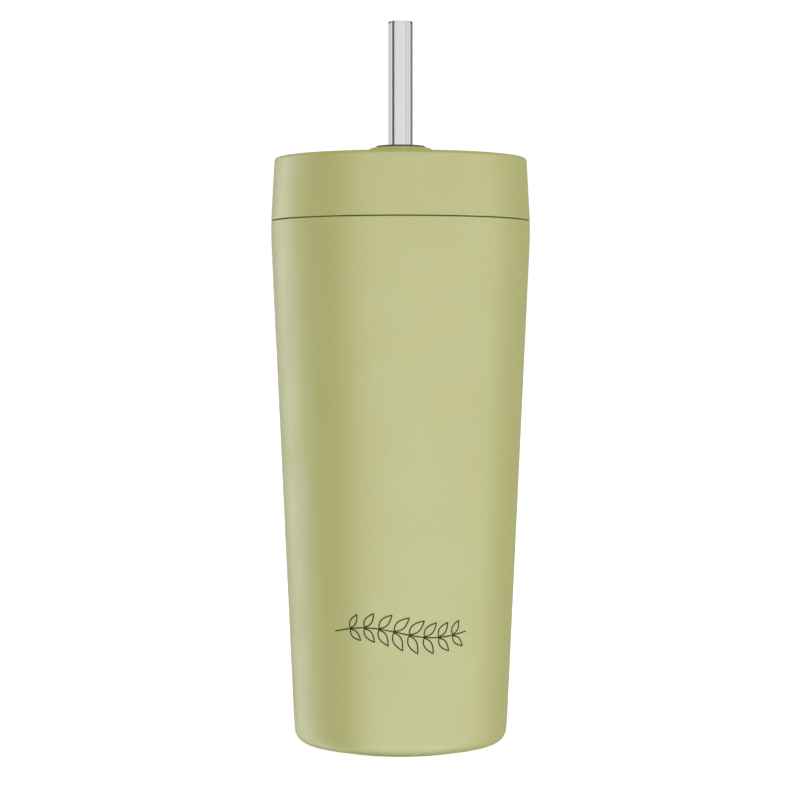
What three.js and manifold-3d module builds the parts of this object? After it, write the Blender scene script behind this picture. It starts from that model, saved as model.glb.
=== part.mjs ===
// Insulated tumbler with a push-on lid and a clear glass drinking straw.
//
// A double-walled steel cup, evacuated between its walls, stands on a silicone foot. A plastic lid pushes
// into the cup's mouth and seals there with a lipped gasket. A straw runs through a silicone grommet in the
// middle of the lid, down to the floor of the cup.
//
// Millimetres, +Z up. The origin is the centre of the foot, on the surface that the tumbler stands on.
import * as THREE from "three";
import { mergeVertices } from "three/addons/utils/BufferGeometryUtils.js";
import Module from "manifold-3d";

const wasm = await Module();
wasm.setup();

// ---- Driving dimensions ------------------------------------------------------------------------------

const WIDEST_RADIUS = 43.85; // the straight band just below the lid
const FOOT_RADIUS = 35.93; // the tapered side, carried down to the ground
const TAPER = 0.0461; // radius gained for each millimetre of height
const SHOULDER_HEIGHT = 178; // the ledge that the lid's skirt comes down to
const NECK_TOP = 189.2; // the steel neck that stands up inside the lid
const LID_TOP = 199.4;
const LID_TAPER = 0.0547; // radius that the lid loses for each millimetre of height
const STRAW_TOP = 245.7;
const STRAW_RADIUS = 4.1;
const STRAW_BORE_RADIUS = 2.3;

const STEEL = 0.5; // sheet thickness of both walls and of the base
const DOUBLE_WALL = 4.9; // from the outside of the body to the inside of the cup
const GAP = 0.3; // between pieces that touch
const SEAM = 0.3; // the groove that shows between lid and body

// ---- Sizes of the body -------------------------------------------------------------------------------

const sideRadius = (height) => FOOT_RADIUS + TAPER * height;
const BAND_BOTTOM = (WIDEST_RADIUS - FOOT_RADIUS) / TAPER;
const BAND_FILLET = 150; // softens the change from taper to band
const SHELL_BOTTOM = 1.4;
const SHELL_CORNER = 4.5;
const FOOT_BEND = 11; // below this height the side draws in a little faster
const FOOT_BEND_FILLET = 30;
const FOOT_TAPER = 0.0723;
const footRadius = (height) => sideRadius(FOOT_BEND) - FOOT_TAPER * (FOOT_BEND - height);
const FOOT_FLANGE_RADIUS = 24.6; // the shell's edge, turned up under the body
const PAD_BORE_RADIUS = 18;
const PAD_BRIM_RADIUS = 25.6;
const BASE_PLATE_BOTTOM = 4.4;
const BASE_COVER_BOTTOM = 3;
const CUP_FLOOR = 9.4;
const CUP_CORNER = 8;
const MOUTH_RADIUS = WIDEST_RADIUS - DOUBLE_WALL;
const NECK_RADIUS = 41;
const LIP_TOP = NECK_TOP + GAP + 1.2;

// ---- Sizes of the lid --------------------------------------------------------------------------------

const LID_BOTTOM = SHOULDER_HEIGHT + SEAM;
const LID_TOP_RADIUS = WIDEST_RADIUS - LID_TAPER * (LID_TOP - LID_BOTTOM);
const LID_DISH = LID_TOP - 1; // the top is dished a little inside its rim
const LID_CEILING = LID_DISH - 2.4;
const PLUG_FLOOR = 174.7;
const PLUG_RADIUS = MOUTH_RADIUS - 1.7;
const PLUG_WALL = 1.8;
const PLUG_FLANGE = { bottom: LIP_TOP + GAP, top: LIP_TOP + GAP + 1.7, radius: NECK_RADIUS + 0.4 };
const GASKET_GROOVE = { bottom: 180.6, top: 186.2, radius: PLUG_RADIUS - 1.8 };
const VENT = { radius: 1, offset: 24 }; // the air hole behind the straw

const COLLAR_RADIUS = 11.1;
const COLLAR_STEM_RADIUS = 8.9;
const COLLAR_BORE_RADIUS = 7;
const COLLAR_TOP = 202.9;
const COLLAR_BOTTOM = 193.5;
const COLLAR_SEAT = { radius: 8.7, height: COLLAR_TOP - 0.8 }; // the recess for the grommet's flange
const COLLAR_GROOVE = { bottom: 194.2, top: 195.8, radius: COLLAR_STEM_RADIUS - 0.8 };
const CHIMNEY_RADIUS = 9.7; // the tube of the plug that the collar's stem stands in

// ---- Building blocks ---------------------------------------------------------------------------------

const ROUND = 40; // sides of the large pieces
const SMALL_ROUND = 24; // sides of the pieces round the straw
const ARC_CHORD = 2.5; // the longest straight piece wanted in a rounded corner
const ARC_PIECES = { fewest: 2, most: 4 };

// A rounded corner of an outline: the two tangent points and the arc between them.
function filletArc(before, corner, after, radius) {
  const back = before.clone().sub(corner).normalize();
  const onward = after.clone().sub(corner).normalize();
  const inside = Math.acos(THREE.MathUtils.clamp(back.dot(onward), -1, 1));
  const turn = Math.PI - inside;
  const side = Math.sign(onward.cross(back));
  const start = corner.clone().addScaledVector(back, radius / Math.tan(inside / 2));
  const toCentre = new THREE.Vector2(back.y, -back.x).multiplyScalar(radius * side);
  const centre = start.clone().add(toCentre);
  const { fewest, most } = ARC_PIECES;
  const pieces = THREE.MathUtils.clamp(Math.ceil((turn * radius) / ARC_CHORD), fewest, most);
  const step = (side * turn) / pieces;
  return Array.from({ length: pieces + 1 }, (_, i) => start.clone().rotateAround(centre, i * step));
}

// Corners are [radius, height] or [radius, height, fillet], anticlockwise round the section.
function outline(corners) {
  const count = corners.length;
  const at = (i) => new THREE.Vector2(...corners[(i + count) % count].slice(0, 2));
  return corners.flatMap(([, , fillet], i) =>
    fillet ? filletArc(at(i - 1), at(i), at(i + 1), fillet) : [at(i)],
  );
}

// A section turned about the Z axis. One that doesn't start on the axis is closed on itself.
function turned(corners, sides) {
  const points = outline(corners);
  if (points[0].x > 0) points.push(points[0].clone());
  return new THREE.LatheGeometry(points, sides).rotateX(Math.PI / 2);
}

function solidOf(geometry) {
  const bare = geometry.clone().deleteAttribute("normal").deleteAttribute("uv");
  const merged = mergeVertices(bare, 1e-4);
  const mesh = new wasm.Mesh({
    numProp: 3,
    vertProperties: merged.getAttribute("position").array,
    triVerts: merged.index.array,
  });
  return new wasm.Manifold(mesh);
}

function geometryOf(solid) {
  const { vertProperties, triVerts } = solid.getMesh();
  const geometry = new THREE.BufferGeometry();
  geometry.setAttribute("position", new THREE.BufferAttribute(vertProperties, 3));
  geometry.setIndex(new THREE.BufferAttribute(triVerts, 1));
  geometry.computeVertexNormals();
  return geometry;
}

// An upright cylinder on the line of the air vent.
function ventCylinder(radius, bottom, top) {
  const sides = 16;
  const cylinder = new THREE.CylinderGeometry(radius, radius, top - bottom, sides);
  return solidOf(cylinder.rotateX(Math.PI / 2).translate(0, VENT.offset, (top + bottom) / 2));
}

// ---- Materials ---------------------------------------------------------------------------------------

const finish = (color, roughness, metalness = 0) =>
  new THREE.MeshStandardMaterial({ color, roughness, metalness });
const POWDER_COAT = finish(0xbfc08d, 0.55);
const LID_PLASTIC = finish(0xbfc08d, 0.5);
const BRUSHED_STEEL = finish(0xb4b6b8, 0.35, 1);
const PALE_PLASTIC = finish(0xd9d7cc, 0.45);
const SLATE_SILICONE = finish(0x46504f, 0.7);
const COPPER = finish(0xc77b52, 0.35, 1);
const SOLDER_GLASS = finish(0x4a4038, 0.3);
const CLEAR_GLASS = new THREE.MeshStandardMaterial({
  color: 0xf2f3f3,
  roughness: 0.05,
  metalness: 0,
  transparent: true,
  opacity: 0.35,
});

// ---- Body --------------------------------------------------------------------------------------------

// The coated outer wall: foot flange, rounded foot, tapered side, straight band, shoulder and neck.
function outerShell() {
  const flangeTop = SHELL_BOTTOM + 3.7;
  const floor = SHELL_BOTTOM + STEEL;
  const ledge = SHOULDER_HEIGHT - STEEL;
  return turned(
    [
      [FOOT_FLANGE_RADIUS, SHELL_BOTTOM, 0.7],
      [footRadius(SHELL_BOTTOM), SHELL_BOTTOM, SHELL_CORNER],
      [sideRadius(FOOT_BEND), FOOT_BEND, FOOT_BEND_FILLET],
      [WIDEST_RADIUS, BAND_BOTTOM, BAND_FILLET],
      [WIDEST_RADIUS, SHOULDER_HEIGHT, 0.25],
      [NECK_RADIUS, SHOULDER_HEIGHT, 0.5],
      [NECK_RADIUS, NECK_TOP],
      [NECK_RADIUS - STEEL, NECK_TOP],
      [NECK_RADIUS - STEEL, ledge],
      [WIDEST_RADIUS - STEEL, ledge],
      [WIDEST_RADIUS - STEEL, BAND_BOTTOM, BAND_FILLET],
      [sideRadius(FOOT_BEND) - STEEL, FOOT_BEND, FOOT_BEND_FILLET],
      [footRadius(floor) - STEEL, floor, SHELL_CORNER - STEEL],
      [FOOT_FLANGE_RADIUS + STEEL, floor],
      [FOOT_FLANGE_RADIUS + STEEL, flangeTop],
      [FOOT_FLANGE_RADIUS, flangeTop],
    ],
    ROUND,
  );
}

// The inner wall is the cup itself. Its lip is rolled out over the top of the shell's neck.
function innerLiner() {
  const inside = (height) => sideRadius(height) - DOUBLE_WALL;
  const underside = CUP_FLOOR - STEEL;
  return turned(
    [
      [0, underside],
      [inside(underside) + STEEL, underside, CUP_CORNER],
      [MOUTH_RADIUS + STEEL, BAND_BOTTOM, BAND_FILLET],
      [MOUTH_RADIUS + STEEL, NECK_TOP + GAP],
      [NECK_RADIUS, NECK_TOP + GAP, 0.4],
      [NECK_RADIUS, LIP_TOP, 0.6],
      [MOUTH_RADIUS, LIP_TOP, 0.6],
      [MOUTH_RADIUS, BAND_BOTTOM, BAND_FILLET],
      [inside(CUP_FLOOR), CUP_FLOOR, CUP_CORNER - STEEL],
      [0, CUP_FLOOR],
    ],
    ROUND,
  );
}

// Copper foil round the inner wall, which reflects heat back across the vacuum.
function copperShield() {
  const foil = 0.12;
  const bottom = 20;
  const top = 158;
  const inside = (height) => sideRadius(height) - DOUBLE_WALL + STEEL + GAP;
  return turned(
    [
      [inside(bottom), bottom],
      [inside(bottom) + foil, bottom],
      [inside(top) + foil, top],
      [inside(top), top],
    ],
    ROUND,
  );
}

// The plate that closes the vacuum. Air is drawn out through the hole in its raised middle.
function basePlate() {
  const hole = 1.2;
  const edge = FOOT_FLANGE_RADIUS - GAP;
  const rimBottom = BASE_COVER_BOTTOM;
  const raised = BASE_PLATE_BOTTOM + 0.8;
  return turned(
    [
      [hole, raised],
      [5.2, raised],
      [6, BASE_PLATE_BOTTOM],
      [edge - STEEL, BASE_PLATE_BOTTOM],
      [edge - STEEL, rimBottom],
      [edge, rimBottom],
      [edge, BASE_PLATE_BOTTOM + STEEL, 0.6],
      [6.5, BASE_PLATE_BOTTOM + STEEL],
      [5.7, raised + STEEL],
      [hole, raised + STEEL],
    ],
    ROUND,
  );
}

// The bead of solder glass that seals the hole once the air is out.
function sealBead() {
  const top = BASE_PLATE_BOTTOM + 0.8 - GAP;
  return turned(
    [
      [0, top - 1],
      [2.8, top - 0.8],
      [4.5, top - 0.3],
      [4.5, top],
      [0, top],
    ],
    SMALL_ROUND,
  );
}

// A pill that soaks up the last of the gas, fixed to the plate inside the vacuum.
function getterPill() {
  const radius = 4;
  const thickness = 1.2;
  const offset = 16;
  const pill = new THREE.CylinderGeometry(radius, radius, thickness, SMALL_ROUND).rotateX(Math.PI / 2);
  return pill.translate(offset, 0, BASE_PLATE_BOTTOM + STEEL + GAP + thickness / 2);
}

// The bright disc under the base, pressed down in the middle of the foot.
function baseCover() {
  const rim = FOOT_FLANGE_RADIUS - GAP - STEEL - GAP;
  const middle = PAD_BORE_RADIUS - 1.6;
  const pressed = BASE_COVER_BOTTOM - 1.2;
  return turned(
    [
      [0, pressed],
      [middle, pressed, 0.8],
      [middle + 1, BASE_COVER_BOTTOM, 0.8],
      [rim, BASE_COVER_BOTTOM],
      [rim, BASE_COVER_BOTTOM + STEEL],
      [middle + 0.7, BASE_COVER_BOTTOM + STEEL],
      [middle - 0.3, pressed + STEEL],
      [0, pressed + STEEL],
    ],
    ROUND,
  );
}

// The silicone ring that the tumbler stands on. Its stem presses into the foot flange.
function basePad() {
  const stem = FOOT_FLANGE_RADIUS - 0.4;
  const brimTop = SHELL_BOTTOM - GAP;
  const stemTop = BASE_COVER_BOTTOM - GAP;
  return turned(
    [
      [PAD_BORE_RADIUS, 0, 0.4],
      [PAD_BRIM_RADIUS, 0, 0.4],
      [PAD_BRIM_RADIUS, brimTop],
      [stem, brimTop],
      [stem, stemTop],
      [PAD_BORE_RADIUS, stemTop],
    ],
    ROUND,
  );
}

// ---- Lid ---------------------------------------------------------------------------------------------

// The coloured outside of the lid: a skirt over the steel neck, a dished top with a hole for the collar,
// and a ring-shaped rib that the plug is welded to.
function lidCover() {
  const skirtInside = NECK_RADIUS + 0.8;
  const holeRadius = COLLAR_STEM_RADIUS + GAP;
  const rib = { inner: 38.2, outer: 39.6, bottom: PLUG_FLANGE.top + GAP };
  const shell = turned(
    [
      [skirtInside, LID_BOTTOM],
      [WIDEST_RADIUS, LID_BOTTOM, 0.25],
      [LID_TOP_RADIUS, LID_TOP, 1.2],
      [40, LID_TOP, 1.5],
      [38.4, LID_DISH, 2],
      [holeRadius, LID_DISH],
      [holeRadius, LID_CEILING],
      [rib.inner, LID_CEILING],
      [rib.inner, rib.bottom],
      [rib.outer, rib.bottom],
      [rib.outer, LID_CEILING],
      [skirtInside, LID_CEILING - 1, 1],
    ],
    ROUND,
  );
  const hole = ventCylinder(VENT.radius, LID_CEILING - 1, LID_TOP);
  return geometryOf(solidOf(shell).subtract(hole));
}

// The hollow plug that fills the mouth: a flange over the lip, the gasket's groove, a floor with a hole for
// the straw, a chimney for the collar's stem and a narrow tube for the vent.
function lidPlug() {
  const strawHole = STRAW_RADIUS + 0.9;
  const chimneyTop = LID_CEILING - GAP;
  const chimneyOutside = CHIMNEY_RADIUS + 1.5;
  const floorTop = PLUG_FLOOR + PLUG_WALL;
  const wallInside = GASKET_GROOVE.radius - PLUG_WALL;
  const cup = turned(
    [
      [strawHole, PLUG_FLOOR],
      [PLUG_RADIUS, PLUG_FLOOR, 2.5],
      [PLUG_RADIUS, GASKET_GROOVE.bottom],
      [GASKET_GROOVE.radius, GASKET_GROOVE.bottom],
      [GASKET_GROOVE.radius, GASKET_GROOVE.top],
      [PLUG_RADIUS, GASKET_GROOVE.top],
      [PLUG_RADIUS, PLUG_FLANGE.bottom],
      [PLUG_FLANGE.radius, PLUG_FLANGE.bottom],
      [PLUG_FLANGE.radius, PLUG_FLANGE.top],
      [wallInside, PLUG_FLANGE.top],
      [wallInside, floorTop, 2],
      [chimneyOutside, floorTop, 0.8],
      [chimneyOutside, chimneyTop],
      [CHIMNEY_RADIUS, chimneyTop],
      [CHIMNEY_RADIUS, floorTop],
      [strawHole, floorTop],
    ],
    ROUND,
  );
  const tube = ventCylinder(VENT.radius + 1.4, PLUG_FLOOR + PLUG_WALL / 2, chimneyTop);
  const hole = ventCylinder(VENT.radius, PLUG_FLOOR - 1, chimneyTop + 1);
  return geometryOf(solidOf(cup).add(tube).subtract(hole));
}

// Silicone ring with two lips that wipe the inside of the mouth.
function lidGasket() {
  const seat = GASKET_GROOVE.radius + GAP;
  const web = PLUG_RADIUS - 0.1;
  const lip = MOUTH_RADIUS - 0.25;
  const bottom = GASKET_GROOVE.bottom + GAP;
  const top = GASKET_GROOVE.top - GAP;
  return turned(
    [
      [seat, bottom],
      [web, bottom],
      [lip, bottom + 1.2],
      [lip, bottom + 1.8],
      [web, bottom + 2.2],
      [web, bottom + 2.8],
      [lip, bottom + 3.6],
      [lip, bottom + 4.2],
      [web, top],
      [seat, top],
    ],
    ROUND,
  );
}

// The raised ring round the straw. Its stem goes down through the lid's top, and it holds the grommet.
function strawCollar() {
  const flangeBottom = LID_DISH + GAP;
  return turned(
    [
      [COLLAR_BORE_RADIUS, COLLAR_BOTTOM],
      [COLLAR_STEM_RADIUS, COLLAR_BOTTOM],
      [COLLAR_STEM_RADIUS, COLLAR_GROOVE.bottom],
      [COLLAR_GROOVE.radius, COLLAR_GROOVE.bottom],
      [COLLAR_GROOVE.radius, COLLAR_GROOVE.top],
      [COLLAR_STEM_RADIUS, COLLAR_GROOVE.top],
      [COLLAR_STEM_RADIUS, flangeBottom],
      [COLLAR_RADIUS, flangeBottom],
      [COLLAR_RADIUS, COLLAR_TOP, 1.5],
      [COLLAR_SEAT.radius, COLLAR_TOP],
      [COLLAR_SEAT.radius, COLLAR_SEAT.height],
      [COLLAR_BORE_RADIUS, COLLAR_SEAT.height],
    ],
    SMALL_ROUND,
  );
}

// The O-ring in the collar's groove, which seals it to the plug's chimney.
function collarSeal() {
  const section = 0.55;
  const sectionSides = 8;
  const radius = (COLLAR_GROOVE.radius + CHIMNEY_RADIUS) / 2;
  const height = (COLLAR_GROOVE.bottom + COLLAR_GROOVE.top) / 2;
  return new THREE.TorusGeometry(radius, section, sectionSides, SMALL_ROUND).translate(0, 0, height);
}

// The silicone bush that grips the straw: a thin flange on top, a wiping lip at each end of its bore and a
// bead that holds it in the collar.
function strawGrommet() {
  const lip = STRAW_RADIUS + 0.2;
  const relief = lip + 0.8;
  const stem = COLLAR_BORE_RADIUS - GAP;
  const flange = {
    radius: COLLAR_SEAT.radius - GAP,
    bottom: COLLAR_SEAT.height + GAP,
    top: COLLAR_TOP + 0.7,
  };
  const bead = { radius: stem + 1.1, bottom: COLLAR_BOTTOM - 2.1, top: COLLAR_BOTTOM - GAP };
  return turned(
    [
      [lip, bead.bottom],
      [stem, bead.bottom],
      [bead.radius, bead.top - 0.7],
      [bead.radius, bead.top],
      [stem, bead.top],
      [stem, flange.bottom],
      [flange.radius, flange.bottom],
      [flange.radius, flange.top, 0.4],
      [lip + 0.5, flange.top],
      [lip, flange.top - 0.4],
      [lip, flange.top - 1.2],
      [relief, flange.top - 1.8],
      [relief, bead.bottom + 1.6],
      [lip, bead.bottom + 1],
    ],
    SMALL_ROUND,
  );
}

function drinkingStraw() {
  const bottom = CUP_FLOOR + GAP;
  const edge = 0.3;
  return turned(
    [
      [STRAW_BORE_RADIUS, bottom],
      [STRAW_RADIUS, bottom, edge],
      [STRAW_RADIUS, STRAW_TOP, edge],
      [STRAW_BORE_RADIUS, STRAW_TOP],
    ],
    SMALL_ROUND,
  );
}

// ---- Assembly ----------------------------------------------------------------------------------------

const PIECES = [
  ["outer_shell", outerShell, POWDER_COAT],
  ["inner_liner", innerLiner, BRUSHED_STEEL],
  ["copper_shield", copperShield, COPPER],
  ["base_plate", basePlate, BRUSHED_STEEL],
  ["seal_bead", sealBead, SOLDER_GLASS],
  ["getter_pill", getterPill, BRUSHED_STEEL],
  ["base_cover", baseCover, BRUSHED_STEEL],
  ["base_pad", basePad, SLATE_SILICONE],
  ["lid_cover", lidCover, LID_PLASTIC],
  ["lid_plug", lidPlug, PALE_PLASTIC],
  ["lid_gasket", lidGasket, SLATE_SILICONE],
  ["straw_collar", strawCollar, LID_PLASTIC],
  ["collar_seal", collarSeal, SLATE_SILICONE],
  ["straw_grommet", strawGrommet, SLATE_SILICONE],
  ["straw", drinkingStraw, CLEAR_GLASS],
];

const tumbler = new THREE.Group();
for (const [name, shape, material] of PIECES) {
  const piece = new THREE.Mesh(shape(), material);
  piece.name = name;
  tumbler.add(piece);
}

export default tumbler;
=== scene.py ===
"""The looks of the insulated tumbler: fine meshes, materials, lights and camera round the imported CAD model.

Sections are written in millimetres, as [radius, height] or [radius, height, fillet], and turned about the
Z axis. Blender objects are in metres, in the frame of the CAD model.
"""

import math

import bmesh
import bpy
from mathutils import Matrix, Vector


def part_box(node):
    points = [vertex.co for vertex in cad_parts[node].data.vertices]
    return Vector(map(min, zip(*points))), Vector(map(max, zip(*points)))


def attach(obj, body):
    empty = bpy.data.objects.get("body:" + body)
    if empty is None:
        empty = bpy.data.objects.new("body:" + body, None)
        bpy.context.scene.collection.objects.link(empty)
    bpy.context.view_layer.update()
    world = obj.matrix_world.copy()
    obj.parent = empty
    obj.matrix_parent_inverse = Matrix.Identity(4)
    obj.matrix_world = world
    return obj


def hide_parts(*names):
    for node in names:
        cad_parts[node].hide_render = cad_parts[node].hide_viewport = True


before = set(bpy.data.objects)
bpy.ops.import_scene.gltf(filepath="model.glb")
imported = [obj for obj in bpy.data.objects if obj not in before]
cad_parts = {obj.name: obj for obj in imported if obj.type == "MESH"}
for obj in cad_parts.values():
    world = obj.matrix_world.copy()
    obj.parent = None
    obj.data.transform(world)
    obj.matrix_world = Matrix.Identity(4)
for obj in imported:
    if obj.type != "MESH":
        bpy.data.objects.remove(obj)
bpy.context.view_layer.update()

MM = 0.001


# ---- Sizes from the frame ------------------------------------------------------------------------------


def low(node, axis):
    """The lowest place of a CAD node along an axis, in millimetres."""
    return getattr(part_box(node)[0], axis) / MM


def high(node, axis):
    """The highest place of a CAD node along an axis, in millimetres."""
    return getattr(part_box(node)[1], axis) / MM


WIDEST = high("outer_shell", "x")
SHELL_BOTTOM = low("outer_shell", "z")
NECK_TOP = high("outer_shell", "z")
NECK_RADIUS = high("inner_liner", "x")
LIP_TOP = high("inner_liner", "z")
LINER_BOTTOM = low("inner_liner", "z")
LID_BOTTOM = low("lid_cover", "z")
LID_TOP = high("lid_cover", "z")
STRAW_RADIUS = high("straw", "x")
STRAW_BOTTOM = low("straw", "z")
STRAW_TOP = high("straw", "z")

TAPER = 0.0461  # radius that the side gains for each millimetre of height
FOOT_RADIUS = 35.93  # the side, carried down to the ground
SEAM = 0.3
GAP = 0.3
SEAM_FILLET = 0.3
STEEL = 0.5
DOUBLE_WALL = 4.9
SHOULDER = LID_BOTTOM - SEAM
BAND_BOTTOM = (WIDEST - FOOT_RADIUS) / TAPER
BAND_FILLET = 150
MOUTH_RADIUS = WIDEST - DOUBLE_WALL
FOOT_CORNER = 4.5
FOOT_BEND = 11  # below this height the side draws in a little faster
FOOT_BEND_FILLET = 30
FOOT_TAPER = 0.0723
FOOT_FLANGE = 24.6
FLANGE_HEIGHT = 3.7
PAINTED_NECK = 4  # the coat covers this much of the neck, above the shoulder
PAD_BORE = 18
CUP_FLOOR = LINER_BOTTOM + STEEL
CUP_CORNER = 8


def side_radius(height):
    return FOOT_RADIUS + TAPER * height


def foot_radius(height):
    return side_radius(FOOT_BEND) - FOOT_TAPER * (FOOT_BEND - height)


# ---- Turned meshes -------------------------------------------------------------------------------------

SIDES = 192
ARC_DEGREES = 10
SUPPORT = 0.25  # how close to a corner the extra points are that keep flat walls looking flat
SHARP_DEGREES = 35


def fillet_arc(before, corner, after, radius):
    """The points of a rounded corner, from one tangent point to the other."""
    back = (before - corner).normalized()
    onward = (after - corner).normalized()
    inside = back.angle(onward)
    turn = math.pi - inside
    side = math.copysign(1, onward.cross(back))
    start = corner + back * (radius / math.tan(inside / 2))
    centre = start + Vector((back.y, -back.x)) * radius * side
    pieces = max(3, math.ceil(math.degrees(turn) / ARC_DEGREES))
    arm = start - centre
    points = []
    for i in range(pieces + 1):
        angle = side * turn * i / pieces
        c, s = math.cos(angle), math.sin(angle)
        points.append(centre + Vector((arm.x * c - arm.y * s, arm.x * s + arm.y * c)))
    return points


def section_points(corners):
    """A closed outline with its fillets, and support points next to the ends of every long straight."""
    at = [Vector(c[:2]) for c in corners]
    count = len(at)
    rough = []
    for i, corner in enumerate(corners):
        if len(corner) == 3:
            rough += fillet_arc(at[i - 1], at[i], at[(i + 1) % count], corner[2])
        else:
            rough.append(at[i])
    points = []
    for i, a in enumerate(rough):
        b = rough[(i + 1) % len(rough)]
        points.append(a)
        on_axis = a.x < 1e-6 and b.x < 1e-6
        length = (b - a).length
        if length > 5 * SUPPORT and not on_axis:
            step = (b - a) / length * SUPPORT
            points += [a + step, b - step]
    return points


def smooth(mesh):
    mesh.shade_smooth()
    mesh.set_sharp_from_angle(angle=math.radians(SHARP_DEGREES))


def link(name, bm):
    bmesh.ops.recalc_face_normals(bm, faces=bm.faces)
    mesh = bpy.data.meshes.new(name)
    bm.to_mesh(mesh)
    bm.free()
    smooth(mesh)
    piece = bpy.data.objects.new(name, mesh)
    bpy.context.scene.collection.objects.link(piece)
    return piece


def turned(name, corners, sides=SIDES):
    """A closed piece turned about the Z axis from its section."""
    bm = bmesh.new()
    rings = []
    for p in section_points(corners):
        if p.x < 1e-6:
            rings.append([bm.verts.new((0, 0, p.y * MM))])
            continue
        ring = []
        for i in range(sides):
            a = 2 * math.pi * i / sides
            ring.append(bm.verts.new((p.x * math.cos(a) * MM, p.x * math.sin(a) * MM, p.y * MM)))
        rings.append(ring)
    for ring, following in zip(rings, rings[1:] + rings[:1]):
        if len(ring) == 1 and len(following) == 1:
            continue
        for i in range(sides):
            j = (i + 1) % sides
            corner = [ring[i % len(ring)], ring[j % len(ring)]]
            corner += [following[j % len(following)], following[i % len(following)]]
            bm.faces.new(list(dict.fromkeys(corner)))
    return link(name, bm)


def cut(piece, cutter):
    """Takes the cutter away from the piece, and removes the cutter."""
    boolean = piece.modifiers.new("cut", "BOOLEAN")
    boolean.operation = "DIFFERENCE"
    boolean.object = cutter
    bpy.context.view_layer.objects.active = piece
    bpy.ops.object.modifier_apply(modifier=boolean.name)
    bpy.data.objects.remove(cutter)
    smooth(piece.data)


# ---- Materials -----------------------------------------------------------------------------------------


def linear(red, green, blue):
    """A colour written as 0 to 255 on a screen, as the linear colour that shaders use."""

    def channel(value):
        v = value / 255
        return v / 12.92 if v <= 0.04045 else ((v + 0.055) / 1.055) ** 2.4

    return (channel(red), channel(green), channel(blue), 1)


class Finish:
    """A Principled material whose colour, roughness and relief vary with procedural textures."""

    def __init__(self, name, color, roughness, **sockets):
        self.material = bpy.data.materials.new(name)
        self.material.use_nodes = True
        self.nodes = self.material.node_tree.nodes
        self.links = self.material.node_tree.links
        self.shader = self.nodes["Principled BSDF"]
        self.color = color
        self.shader.inputs["Base Color"].default_value = color
        self.shader.inputs["Roughness"].default_value = roughness
        for socket, value in sockets.items():
            self.shader.inputs[socket.replace("_", " ")].default_value = value
        self.place = self.nodes.new("ShaderNodeTexCoord").outputs["Object"]
        self.relief = None

    def noise(self, size_mm, detail=3, stretch=(1, 1, 1)):
        """Noise whose features are about size_mm across, drawn out along each axis by stretch."""
        mapping = self.nodes.new("ShaderNodeMapping")
        mapping.inputs["Scale"].default_value = [1 / s for s in stretch]
        self.links.new(self.place, mapping.inputs["Vector"])
        noise = self.nodes.new("ShaderNodeTexNoise")
        noise.inputs["Scale"].default_value = 1 / (size_mm * MM)
        noise.inputs["Detail"].default_value = detail
        self.links.new(mapping.outputs["Vector"], noise.inputs["Vector"])
        return noise.outputs["Fac"]

    def rings(self, size_mm):
        """Noise that changes only with the distance from the Z axis, like the marks of a lathe."""
        flat = self.nodes.new("ShaderNodeMapping")
        flat.inputs["Scale"].default_value = (1, 1, 0)
        self.links.new(self.place, flat.inputs["Vector"])
        length = self.nodes.new("ShaderNodeVectorMath")
        length.operation = "LENGTH"
        self.links.new(flat.outputs["Vector"], length.inputs[0])
        noise = self.nodes.new("ShaderNodeTexNoise")
        noise.noise_dimensions = "1D"
        noise.inputs["Scale"].default_value = 1 / (size_mm * MM)
        self.links.new(length.outputs["Value"], noise.inputs["W"])
        return noise.outputs["Fac"]

    def ramp(self, source, low_value, high_value):
        """A texture's middle range, spread from low_value to high_value."""
        spread = self.nodes.new("ShaderNodeMapRange")
        spread.inputs["From Min"].default_value = 0.35
        spread.inputs["From Max"].default_value = 0.65
        spread.inputs["To Min"].default_value = low_value
        spread.inputs["To Max"].default_value = high_value
        self.links.new(source, spread.inputs["Value"])
        return spread.outputs["Result"]

    def shade(self, source, darkest, lightest=1.0):
        """Multiplies the base colour by a factor that follows the texture."""
        mix = self.nodes.new("ShaderNodeMix")
        mix.data_type = "RGBA"
        dark = [c * darkest for c in self.color[:3]] + [1]
        light = [c * lightest for c in self.color[:3]] + [1]
        mix.inputs["A"].default_value = dark
        mix.inputs["B"].default_value = light
        self.links.new(self.ramp(source, 0, 1), mix.inputs["Factor"])
        self.links.new(mix.outputs["Result"], self.shader.inputs["Base Color"])
        return self

    def roughen(self, source, low_value, high_value):
        self.links.new(self.ramp(source, low_value, high_value), self.shader.inputs["Roughness"])
        return self

    def emboss(self, source, depth_mm, strength=1.0):
        """Adds relief. Each call stacks on the one before."""
        bump = self.nodes.new("ShaderNodeBump")
        bump.inputs["Distance"].default_value = depth_mm * MM
        bump.inputs["Strength"].default_value = strength
        self.links.new(source, bump.inputs["Height"])
        if self.relief:
            self.links.new(self.relief, bump.inputs["Normal"])
        self.relief = bump.outputs["Normal"]
        self.links.new(self.relief, self.shader.inputs["Normal"])
        return self


GREEN = linear(178, 179, 92)


def powder_coat():
    """Baked powder paint: a very fine orange peel, with faint changes of gloss."""
    finish = Finish("powder_coat", GREEN, 0.5, Specular_IOR_Level=0.5)
    finish.shade(finish.noise(0.6), 0.96, 1.02)
    finish.roughen(finish.noise(18), 0.46, 0.54)
    finish.emboss(finish.noise(0.9, detail=2), 0.02, 0.5)
    finish.emboss(finish.noise(0.25, detail=1), 0.006, 0.5)
    return finish.material


def collar_plastic_painted_light():
    """The lid's plastic on a softer, quite matte moulding, with its green painted lighter than the lid's to
    stand in for light on the collar.
    """
    finish = Finish("collar_plastic_painted_light", linear(184, 186, 102), 0.75, Specular_IOR_Level=0.4)
    finish.shade(finish.noise(0.4), 0.95, 1.03)
    finish.roughen(finish.noise(6), 0.7, 0.82)
    finish.emboss(finish.noise(0.25, detail=2), 0.01, 0.5)
    return finish.material


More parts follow.
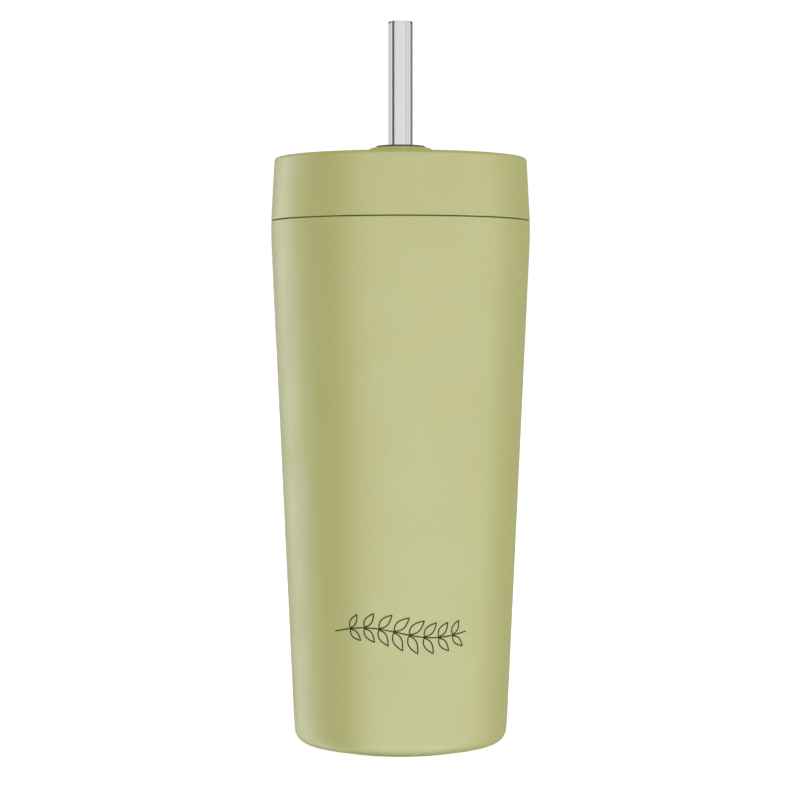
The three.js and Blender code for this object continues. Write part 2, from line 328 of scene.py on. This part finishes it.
def lid_plastic():
    """Soft-touch moulded plastic in the coat's colour, with a spark-eroded grain."""
    finish = Finish("lid_plastic", GREEN, 0.5, Specular_IOR_Level=0.5)
    finish.shade(finish.noise(0.4), 0.97, 1.02)
    finish.roughen(finish.noise(12), 0.46, 0.55)
    finish.emboss(finish.noise(0.3, detail=2), 0.008, 0.5)
    return finish.material


def brushed_steel():
    """Steel polished round the cup: fine lines along the circumference."""
    finish = Finish("brushed_steel", linear(196, 197, 198), 0.3, Metallic=1, Anisotropic=0.5)
    lines = finish.noise(0.12, detail=4, stretch=(300, 300, 1))
    finish.shade(lines, 0.86, 1.04)
    finish.roughen(lines, 0.24, 0.38)
    finish.emboss(lines, 0.004, 0.6)
    return finish.material


def satin_steel():
    """The drawn and polished inside of the cup: soft, even and a little cloudy."""
    finish = Finish("satin_steel", linear(204, 205, 206), 0.42, Metallic=0.6)
    lines = finish.noise(0.3, detail=3, stretch=(200, 200, 1))
    finish.shade(lines, 0.9, 1.03)
    finish.roughen(finish.noise(14), 0.36, 0.5)
    finish.emboss(lines, 0.004, 0.4)
    return finish.material


def spun_steel():
    """Steel with the fine circles that a lathe leaves on a flat disc."""
    finish = Finish("spun_steel", linear(190, 191, 192), 0.3, Metallic=1, Anisotropic=0.4)
    circles = finish.rings(0.15)
    finish.shade(circles, 0.85, 1.05)
    finish.roughen(finish.noise(9), 0.28, 0.33)
    finish.emboss(circles, 0.004, 0.6)
    return finish.material


def copper_foil():
    finish = Finish("copper_foil", linear(212, 132, 98), 0.3, Metallic=1)
    finish.shade(finish.noise(14), 0.8, 1.05)
    finish.roughen(finish.noise(5), 0.22, 0.42)
    finish.emboss(finish.noise(6, detail=4), 0.12, 0.5)
    return finish.material


def solder_glass():
    finish = Finish("solder_glass", linear(70, 58, 48), 0.25)
    finish.shade(finish.noise(0.8), 0.7, 1.1)
    finish.emboss(finish.noise(1.2), 0.05, 0.5)
    return finish.material


def getter_metal():
    finish = Finish("getter_metal", linear(120, 118, 116), 0.65, Metallic=0.8)
    finish.shade(finish.noise(0.3), 0.7, 1.1)
    finish.emboss(finish.noise(0.2), 0.03, 0.7)
    return finish.material


def plug_plastic():
    """The food-safe inside of the lid: smooth pale polypropylene, faintly cloudy."""
    finish = Finish("plug_plastic", linear(222, 220, 209), 0.38, Specular_IOR_Level=0.5)
    finish.shade(finish.noise(9), 0.965, 1.01)
    finish.roughen(finish.noise(5), 0.33, 0.44)
    finish.emboss(finish.noise(0.35, detail=2), 0.006, 0.4)
    return finish.material


def slate_silicone():
    """Matte silicone rubber with a fine bloom."""
    finish = Finish("slate_silicone", linear(50, 60, 62), 0.65, Specular_IOR_Level=0.3)
    finish.shade(finish.noise(0.5), 0.86, 1.08)
    finish.roughen(finish.noise(2), 0.55, 0.7)
    finish.emboss(finish.noise(0.2, detail=2), 0.01, 0.5)
    return finish.material


def clear_glass():
    """A drawn borosilicate tube: clear, with faint streaks along its length."""
    finish = Finish("clear_glass", (0.972, 0.968, 0.96, 1), 0.0, Transmission_Weight=1, IOR=1.47)
    finish.emboss(finish.noise(1.2, detail=1, stretch=(1, 1, 18)), 0.01, 0.25)
    return finish.material


def etched_mark():
    """The dark, dull lines of the motif, which stand for an engraving."""
    finish = Finish("etched_mark", linear(56, 57, 28), 0.75, Specular_IOR_Level=0.1)
    finish.shade(finish.noise(0.15), 0.75, 1.15)
    finish.emboss(finish.noise(0.1), 0.01, 0.6)
    return finish.material


FINISHES = {
    make.__name__: make()
    for make in (
        powder_coat,
        lid_plastic,
        collar_plastic_painted_light,
        brushed_steel,
        satin_steel,
        spun_steel,
        copper_foil,
        solder_glass,
        getter_metal,
        plug_plastic,
        slate_silicone,
        clear_glass,
        etched_mark,
    )
}


def place(piece, node, body, slot, *finishes):
    """Gives a fine piece its materials and its body, and hides the CAD node that it stands for."""
    for finish in finishes:
        piece.data.materials.append(FINISHES[finish])
    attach(piece, body)
    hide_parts(node)
    return piece


# ---- Body ----------------------------------------------------------------------------------------------


def make_outer_shell():
    """The coated wall. The paint stops a little way up the bare steel neck."""
    floor = SHELL_BOTTOM + STEEL
    ledge = SHOULDER - STEEL
    flange_top = SHELL_BOTTOM + FLANGE_HEIGHT
    shell = turned(
        "shell",
        [
            [FOOT_FLANGE, SHELL_BOTTOM, 0.7],
            [foot_radius(SHELL_BOTTOM), SHELL_BOTTOM, FOOT_CORNER],
            [side_radius(FOOT_BEND), FOOT_BEND, FOOT_BEND_FILLET],
            [WIDEST, BAND_BOTTOM, BAND_FILLET],
            [WIDEST, SHOULDER, SEAM_FILLET],
            [NECK_RADIUS, SHOULDER, 0.5],
            [NECK_RADIUS, SHOULDER + PAINTED_NECK],
            [NECK_RADIUS, NECK_TOP],
            [NECK_RADIUS - STEEL, NECK_TOP],
            [NECK_RADIUS - STEEL, ledge],
            [WIDEST - STEEL, ledge],
            [WIDEST - STEEL, BAND_BOTTOM, BAND_FILLET],
            [side_radius(FOOT_BEND) - STEEL, FOOT_BEND, FOOT_BEND_FILLET],
            [foot_radius(floor) - STEEL, floor, FOOT_CORNER - STEEL],
            [FOOT_FLANGE + STEEL, floor],
            [FOOT_FLANGE + STEEL, flange_top],
            [FOOT_FLANGE, flange_top],
        ],
    )
    place(shell, "outer_shell", "cup", "powder_coat", "powder_coat", "brushed_steel")
    paint_edge = (SHOULDER + PAINTED_NECK - 0.1) * MM
    for face in shell.data.polygons:
        face.material_index = int(face.center.z > paint_edge)


def make_inner_liner():
    def inside(height):
        return side_radius(height) - DOUBLE_WALL

    liner = turned(
        "liner",
        [
            [0, LINER_BOTTOM],
            [inside(LINER_BOTTOM) + STEEL, LINER_BOTTOM, CUP_CORNER],
            [MOUTH_RADIUS + STEEL, BAND_BOTTOM, BAND_FILLET],
            [MOUTH_RADIUS + STEEL, NECK_TOP + GAP],
            [NECK_RADIUS, NECK_TOP + GAP, 0.4],
            [NECK_RADIUS, LIP_TOP, 0.6],
            [MOUTH_RADIUS, LIP_TOP, 0.6],
            [MOUTH_RADIUS, BAND_BOTTOM, BAND_FILLET],
            [inside(CUP_FLOOR), CUP_FLOOR, CUP_CORNER - STEEL],
            [0, CUP_FLOOR],
        ],
    )
    place(liner, "inner_liner", "cup", "brushed_steel", "satin_steel", "brushed_steel")
    rolled_edge = (NECK_TOP + GAP / 2) * MM
    for face in liner.data.polygons:
        face.material_index = int(face.center.z > rolled_edge)


def make_base_cover():
    bottom = low("base_cover", "z")
    rim = high("base_cover", "x")
    step = bottom + 1.2
    middle = PAD_BORE - 1.6  # the part that shows inside the foot ring
    cover = turned(
        "base_disc",
        [
            [0, bottom],
            [middle, bottom, 0.8],
            [middle + 1, step, 0.8],
            [rim, step],
            [rim, step + STEEL],
            [middle + 0.7, step + STEEL],
            [middle - 0.3, bottom + STEEL],
            [0, bottom + STEEL],
        ],
    )
    place(cover, "base_cover", "cup", "brushed_steel", "spun_steel")


def make_base_pad():
    stem = FOOT_FLANGE - 0.4
    brim = high("base_pad", "x")
    top = high("base_pad", "z")
    pad = turned(
        "foot_ring",
        [
            [PAD_BORE, 0, 0.4],
            [brim, 0, 0.4],
            [brim, SHELL_BOTTOM - GAP, 0.2],
            [stem, SHELL_BOTTOM - GAP],
            [stem, top],
            [PAD_BORE, top],
        ],
    )
    place(pad, "base_pad", "cup", "silicone", "slate_silicone")


# ---- Lid -----------------------------------------------------------------------------------------------

LID_TAPER = 0.0547
LID_DISH = LID_TOP - 1
LID_CEILING = LID_DISH - 2.4
VENT_RADIUS = 1
VENT_OFFSET = 24
PLUG_RADIUS = MOUTH_RADIUS - 1.7
PLUG_FLOOR = low("lid_plug", "z")
PLUG_WALL = 1.8
FLANGE_BOTTOM = LIP_TOP + GAP
FLANGE_TOP = FLANGE_BOTTOM + 1.7
GROOVE = (180.6, 186.2)
GROOVE_RADIUS = PLUG_RADIUS - 1.8
COLLAR_TOP = high("straw_collar", "z")
COLLAR_BOTTOM = low("straw_collar", "z")
COLLAR_RADIUS = high("straw_collar", "x")
COLLAR_STEM = 8.9
COLLAR_BORE = 7
SEAT_RADIUS = 8.7
SEAT_HEIGHT = COLLAR_TOP - 0.8
CHIMNEY = 9.7


def vent_cutter(bottom, top, mouth):
    """A pin on the vent's line, flared where it leaves the top."""
    flare = 0.35
    pin = turned(
        "vent_cutter",
        [
            [0, bottom],
            [VENT_RADIUS, bottom],
            [VENT_RADIUS, mouth - flare],
            [VENT_RADIUS + flare, mouth],
            [VENT_RADIUS + flare, top],
            [0, top],
        ],
        sides=48,
    )
    pin.location.y = VENT_OFFSET * MM
    return pin


def make_lid_cover():
    skirt_inside = NECK_RADIUS + 0.8
    hole = COLLAR_STEM + GAP
    rib = (38.2, 39.6)  # holds the plug's flange down
    rib_bottom = FLANGE_TOP + GAP
    top_radius = WIDEST - LID_TAPER * (LID_TOP - LID_BOTTOM)
    cover = turned(
        "lid_shell",
        [
            [skirt_inside, LID_BOTTOM, 0.2],
            [WIDEST, LID_BOTTOM, SEAM_FILLET],
            [top_radius, LID_TOP, 1.2],
            [40, LID_TOP, 1.5],
            [38.4, LID_DISH, 2],
            [hole, LID_DISH, 0.3],
            [hole, LID_CEILING],
            [rib[0], LID_CEILING],
            [rib[0], rib_bottom],
            [rib[1], rib_bottom],
            [rib[1], LID_CEILING],
            [skirt_inside, LID_CEILING - 1, 1],
        ],
    )
    cut(cover, vent_cutter(LID_CEILING - 1, LID_TOP + 1, LID_DISH))
    place(cover, "lid_cover", "lid", "lid_plastic", "lid_plastic")


def make_lid_plug():
    straw_hole = STRAW_RADIUS + 0.9
    chimney_top = LID_CEILING - GAP
    floor_top = PLUG_FLOOR + PLUG_WALL
    wall_inside = GROOVE_RADIUS - PLUG_WALL
    flange = high("lid_plug", "x")
    plug = turned(
        "plug",
        [
            [straw_hole, PLUG_FLOOR, 0.5],
            [PLUG_RADIUS, PLUG_FLOOR, 2.5],
            [PLUG_RADIUS, GROOVE[0], 0.2],
            [GROOVE_RADIUS, GROOVE[0]],
            [GROOVE_RADIUS, GROOVE[1]],
            [PLUG_RADIUS, GROOVE[1], 0.2],
            [PLUG_RADIUS, FLANGE_BOTTOM],
            [flange, FLANGE_BOTTOM, 0.3],
            [flange, FLANGE_TOP, 0.3],
            [wall_inside, FLANGE_TOP],
            [wall_inside, floor_top, 2],
            [CHIMNEY + 1.5, floor_top, 0.8],
            [CHIMNEY + 1.5, chimney_top],
            [CHIMNEY, chimney_top],
            [CHIMNEY, floor_top],
            [straw_hole, floor_top],
        ],
    )
    cut(plug, vent_cutter(PLUG_FLOOR - 1, chimney_top + 1, chimney_top + 0.5))
    place(plug, "lid_plug", "lid", "plug_plastic", "plug_plastic")


def make_gasket():
    seat = GROOVE_RADIUS + GAP
    web = PLUG_RADIUS - 0.1
    lip = high("lid_gasket", "x")
    bottom = low("lid_gasket", "z")
    top = high("lid_gasket", "z")
    gasket = turned(
        "gasket",
        [
            [seat, bottom],
            [web, bottom],
            [lip, bottom + 1.2, 0.2],
            [lip, bottom + 1.8, 0.2],
            [web, bottom + 2.2, 0.15],
            [web, bottom + 2.8, 0.15],
            [lip, bottom + 3.6, 0.2],
            [lip, bottom + 4.2, 0.2],
            [web, top],
            [seat, top],
        ],
    )
    place(gasket, "lid_gasket", "lid", "silicone", "slate_silicone")


def make_collar():
    flange_bottom = LID_DISH + GAP
    groove = (194.2, 195.8)
    groove_radius = COLLAR_STEM - 0.8
    collar = turned(
        "collar",
        [
            [COLLAR_BORE, COLLAR_BOTTOM],
            [COLLAR_STEM, COLLAR_BOTTOM, 0.3],
            [COLLAR_STEM, groove[0]],
            [groove_radius, groove[0]],
            [groove_radius, groove[1]],
            [COLLAR_STEM, groove[1]],
            [COLLAR_STEM, flange_bottom],
            [COLLAR_RADIUS, flange_bottom, 0.25],
            [COLLAR_RADIUS, COLLAR_TOP, 1.5],
            [SEAT_RADIUS, COLLAR_TOP, 0.25],
            [SEAT_RADIUS, SEAT_HEIGHT],
            [COLLAR_BORE, SEAT_HEIGHT],
        ],
    )
    place(collar, "straw_collar", "lid", "lid_plastic", "collar_plastic_painted_light")


def make_grommet():
    lip = STRAW_RADIUS + 0.2
    relief = lip + 0.8
    stem = COLLAR_BORE - GAP
    top = high("straw_grommet", "z")
    bottom = low("straw_grommet", "z")
    bead_top = COLLAR_BOTTOM - GAP
    grommet = turned(
        "grommet",
        [
            [lip, bottom, 0.3],
            [stem, bottom, 0.3],
            [stem + 1.1, bead_top - 0.7, 0.3],
            [stem + 1.1, bead_top],
            [stem, bead_top],
            [stem, SEAT_HEIGHT + GAP],
            [SEAT_RADIUS - GAP, SEAT_HEIGHT + GAP],
            [SEAT_RADIUS - GAP, top, 0.4],
            [lip + 0.5, top, 0.3],
            [lip, top - 0.4],
            [lip, top - 1.2],
            [relief, top - 1.8],
            [relief, bottom + 1.6],
            [lip, bottom + 1],
        ],
    )
    place(grommet, "straw_grommet", "lid", "silicone", "slate_silicone")


def make_straw():
    """Both ends are fire-polished, so their edges are round."""
    bore = 2.3
    straw = turned(
        "glass_straw",
        [
            [bore, STRAW_BOTTOM, 0.2],
            [STRAW_RADIUS, STRAW_BOTTOM, 0.3],
            [STRAW_RADIUS, STRAW_TOP, 0.3],
            [bore, STRAW_TOP, 0.2],
        ],
        sides=96,
    )
    place(straw, "straw", "straw", "clear_glass", "clear_glass")


# ---- The motif -----------------------------------------------------------------------------------------

STROKE = 0.44  # width of a line
MOTIF_HEIGHT = 42.5  # of the stem's middle above the ground
MOTIF_SPAN = 45.5
PROUD = 0.03  # the lines stand out of the coat by this much, and go into it by SUNK
SUNK = 0.08
WAVE = 1.6  # how far the stem swings up and down


def on_side(across, height, out):
    """A point of the body's side: millimetres across from the front, height, and distance out of the wall."""
    radius = side_radius(height) + out
    angle = across / side_radius(height) - math.pi / 2
    return (radius * math.cos(angle) * MM, radius * math.sin(angle) * MM, height * MM)


def stroke(bm, points, closed):
    """One line of the motif: a thin strip, just proud of the coat, that follows the curve of the side."""
    count = len(points)
    rows = []
    for i, p in enumerate(points):
        before = points[i - 1] if closed or i else p
        after = points[(i + 1) % count] if closed or i < count - 1 else p
        along = (after - before).normalized()
        across = Vector((-along.y, along.x)) * STROKE / 2
        edges = ((p + across, PROUD), (p - across, PROUD), (p - across, -SUNK), (p + across, -SUNK))
        rows.append([bm.verts.new(on_side(q.x, q.y, out)) for q, out in edges])
    pairs = zip(rows, rows[1:] + rows[:1]) if closed else zip(rows, rows[1:])
    for row, following in pairs:
        for k in range(4):
            bm.faces.new((row[k], row[(k + 1) % 4], following[(k + 1) % 4], following[k]))
    if not closed:
        bm.faces.new(rows[0])
        bm.faces.new(rows[-1])


def leaf_outline(root, direction, length, width):
    """A pointed oval that leaves its root in a direction."""
    forward = Vector((math.cos(direction), math.sin(direction)))
    sideways = Vector((-forward.y, forward.x))
    steps = 14
    blunt = 0.8  # under 1 puts the widest place nearer to the root
    outline = []
    for side in (1, -1):
        for i in range(steps):
            t = i / steps if side > 0 else 1 - i / steps
            bulge = math.sin(math.pi * t ** blunt) * width / 2
            outline.append(root + forward * length * t + sideways * bulge * side)
    return outline


def make_motif():
    """A plain sprig of leaves in thin lines, low on the front."""
    bm = bmesh.new()
    steps = 60

    def stem(t):
        across = (t - 0.5) * MOTIF_SPAN
        return Vector((across, MOTIF_HEIGHT + WAVE * math.sin(math.pi * 2 * t)))

    stroke(bm, [stem(i / steps) for i in range(steps + 1)], closed=False)
    leaves = 8
    leaf_length, leaf_width = 6.8, 2.9
    spread = math.radians(52)
    for i in range(leaves):
        t = 0.12 + 0.76 * i / (leaves - 1)
        root = stem(t)
        ahead = stem(t + 0.01) - root
        heading = math.atan2(ahead.y, ahead.x)
        size = 1 - 0.35 * abs(2 * t - 1)
        for side in (1, -1):
            direction = heading + side * spread
            start = root + Vector((math.cos(direction), math.sin(direction))) * (STROKE * 1.1)
            stroke(bm, leaf_outline(start, direction, leaf_length * size, leaf_width * size), closed=True)
    motif = link("leaf_motif", bm)
    motif.data.materials.append(FINISHES["etched_mark"])
    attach(motif, "cup")


# ---- CAD pieces that stay ------------------------------------------------------------------------------

KEPT = {
    "copper_shield": "copper_foil",
    "base_plate": "spun_steel",
    "seal_bead": "solder_glass",
    "getter_pill": "getter_metal",
    "collar_seal": "slate_silicone",
}


def finish_kept_nodes():
    for node, finish in KEPT.items():
        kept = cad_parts[node]
        kept.data.materials.clear()
        kept.data.materials.append(FINISHES[finish])


# ---- Studio --------------------------------------------------------------------------------------------

CAMERA_PLACE = (-0.00019, -0.8294, 0.1394)
CAMERA_TILT = math.radians(1.513)
CAMERA_LENS = 109.76


def make_camera():
    data = bpy.data.cameras.new("camera")
    data.lens = CAMERA_LENS
    data.sensor_width = 36
    camera = bpy.data.objects.new("camera", data)
    camera.location = CAMERA_PLACE
    camera.rotation_euler = (math.pi / 2 - CAMERA_TILT, 0, 0)
    bpy.context.scene.collection.objects.link(camera)
    bpy.context.scene.camera = camera


# Brightness of the studio round the horizon, by azimuth in degrees. The camera stands at 0, and 90 is to its
# right. The first ramp lights the object, and the second is what shows through the clear straw.
SOFT_LIGHT = {-180: 0.24, -94: 0.24, -66: 0.93, -25: 0.8, 0: 0.76, 90: 0.84, 128: 0.9, 158: 0.4, 180: 0.24}
BEHIND_GLASS = {
    -180: 0.75,
    -150: 0.7,
    -136: 0.02,
    -86: 0.02,
    -70: 0.75,
    112: 0.76,
    124: 0.64,
    157: 0.62,
    165: 0.8,
    180: 0.75,
}
OVERHEAD = 0.77
OVERHEAD_START = 0.45  # sine of the height at which the horizon's ramp begins to give way
OVERHEAD_FULL = 0.85
BACKDROP = 1.05


class World:
    """The studio's surroundings, with a brightness of their own for each kind of ray."""

    def __init__(self):
        self.world = bpy.data.worlds.new("studio")
        self.world.use_nodes = True
        self.world.cycles.sampling_method = "NONE"
        bpy.context.scene.world = self.world
        self.nodes, self.links = self.world.node_tree.nodes, self.world.node_tree.links
        self.path = self.nodes.new("ShaderNodeLightPath")
        direction = self.nodes.new("ShaderNodeTexCoord").outputs["Generated"]
        split = self.nodes.new("ShaderNodeSeparateXYZ")
        self.links.new(direction, split.inputs["Vector"])
        backwards = self.math("MULTIPLY", split.outputs["Y"], -1)
        turn = self.math("ARCTAN2", split.outputs["X"], backwards)
        self.azimuth = self.spread(turn, -math.pi, math.pi)
        self.height = self.spread(split.outputs["Z"], OVERHEAD_START, OVERHEAD_FULL)

    def math(self, operation, a, b):
        node = self.nodes.new("ShaderNodeMath")
        node.operation = operation
        for socket, value in zip(node.inputs, (a, b)):
            if isinstance(value, (int, float)):
                socket.default_value = value
            else:
                self.links.new(value, socket)
        return node.outputs["Value"]

    def spread(self, value, start, end):
        node = self.nodes.new("ShaderNodeMapRange")
        node.inputs["From Min"].default_value = start
        node.inputs["From Max"].default_value = end
        self.links.new(value, node.inputs["Value"])
        return node.outputs["Result"]

    def mix(self, factor, a, b):
        node = self.nodes.new("ShaderNodeMix")
        self.links.new(factor, node.inputs["Factor"])
        for name, value in (("A", a), ("B", b)):
            if isinstance(value, (int, float)):
                node.inputs[name].default_value = value
            else:
                self.links.new(value, node.inputs[name])
        return node.outputs["Result"]

    def horizon(self, brightness):
        """A brightness for each azimuth, as a ramp between the ones given."""
        brightest = max(brightness.values())
        ramp = self.nodes.new("ShaderNodeValToRGB")
        stops = ramp.color_ramp.elements
        for azimuth, value in brightness.items():
            place = (azimuth + 180) / 360
            stop = stops[0] if azimuth == -180 else stops[-1] if azimuth == 180 else stops.new(place)
            stop.position = place
            stop.color = [value / brightest] * 3 + [1]
        self.links.new(self.azimuth, ramp.inputs["Fac"])
        return self.math("MULTIPLY", ramp.outputs["Color"], brightest)


def make_world():
    studio = World()
    soft = studio.mix(studio.height, studio.horizon(SOFT_LIGHT), OVERHEAD)
    light = studio.mix(studio.path.outputs["Is Transmission Ray"], soft, studio.horizon(BEHIND_GLASS))
    light = studio.mix(studio.path.outputs["Is Camera Ray"], light, BACKDROP)
    studio.links.new(light, studio.nodes["Background"].inputs["Strength"])
    studio.nodes["Background"].inputs["Color"].default_value = (1, 1, 1, 1)


PANEL_DISTANCE = 2.0
PANEL_TOP = 1.3
PANEL_BOTTOM = -3.0  # far below the floor, which reflections pass through


def sheen_light(name, place, target, width, height, brightness):
    """A bright panel that only makes sheen, and gives no diffuse light."""
    data = bpy.data.lights.new(name, "AREA")
    data.shape = "RECTANGLE"
    data.size = width
    data.size_y = height
    data.energy = brightness * width * height * math.pi
    data.cycles.use_multiple_importance_sampling = False
    light = bpy.data.objects.new(name, data)
    light.location = place
    light.rotation_euler = (target - place).to_track_quat("-Z", "Y").to_euler()
    light.visible_camera = False
    light.visible_diffuse = False
    light.visible_transmission = False
    bpy.context.scene.collection.objects.link(light)


def upright_panel(name, start, end, brightness):
    """A tall panel that stands between two azimuths."""
    middle = math.radians((start + end) / 2)
    width = 2 * PANEL_DISTANCE * math.tan(math.radians(end - start) / 2)
    height = (PANEL_TOP + PANEL_BOTTOM) / 2
    foot = Vector((0, 0, height))
    place = foot + Vector((math.sin(middle), -math.cos(middle), 0)) * PANEL_DISTANCE
    sheen_light(name, place, foot, width, PANEL_TOP - PANEL_BOTTOM, brightness)


def make_lights():
    """Panels for the sheen: in front, to the right, at the left edge, and low for the foot's corner."""
    upright_panel("front_panel", start=-48, end=26, brightness=5.1)
    upright_panel("side_panel", start=26, end=98, brightness=4.8)
    upright_panel("rim_panel", start=-142, end=-94, brightness=4.0)
    below = Vector((0.2, -0.8, -1.3))
    sheen_light("table_panel", below, below + Vector((0, 0.4, 1)), width=2.4, height=2, brightness=3.6)


FLOOR_GLOW = 0.85
FLOOR_SIZE = 30
FLOOR_DROP = 0.05 * MM  # keeps the floor clear of the foot ring


def make_floor():
    """A pale glowing floor that only the camera sees, with a faint shadow close to the foot."""
    finish = Finish("floor", (0.5, 0.5, 0.5, 1), 0.9, Specular_IOR_Level=0)
    finish.shader.inputs["Emission Color"].default_value = (1, 1, 1, 1)
    finish.shader.inputs["Emission Strength"].default_value = FLOOR_GLOW
    bm = bmesh.new()
    bmesh.ops.create_grid(bm, x_segments=1, y_segments=1, size=FLOOR_SIZE)
    floor = link("floor", bm)
    floor.location.z = -FLOOR_DROP
    floor.data.materials.append(finish.material)
    floor.visible_diffuse = False
    floor.visible_glossy = False
    floor.visible_transmission = False
    floor.visible_shadow = False


make_camera()
make_outer_shell()
make_inner_liner()
make_base_cover()
make_base_pad()
make_lid_cover()
make_lid_plug()
make_gasket()
make_collar()
make_grommet()
make_straw()
make_motif()
finish_kept_nodes()
make_world()
make_lights()
make_floor()
bpy.context.scene.view_settings.view_transform = "Standard"
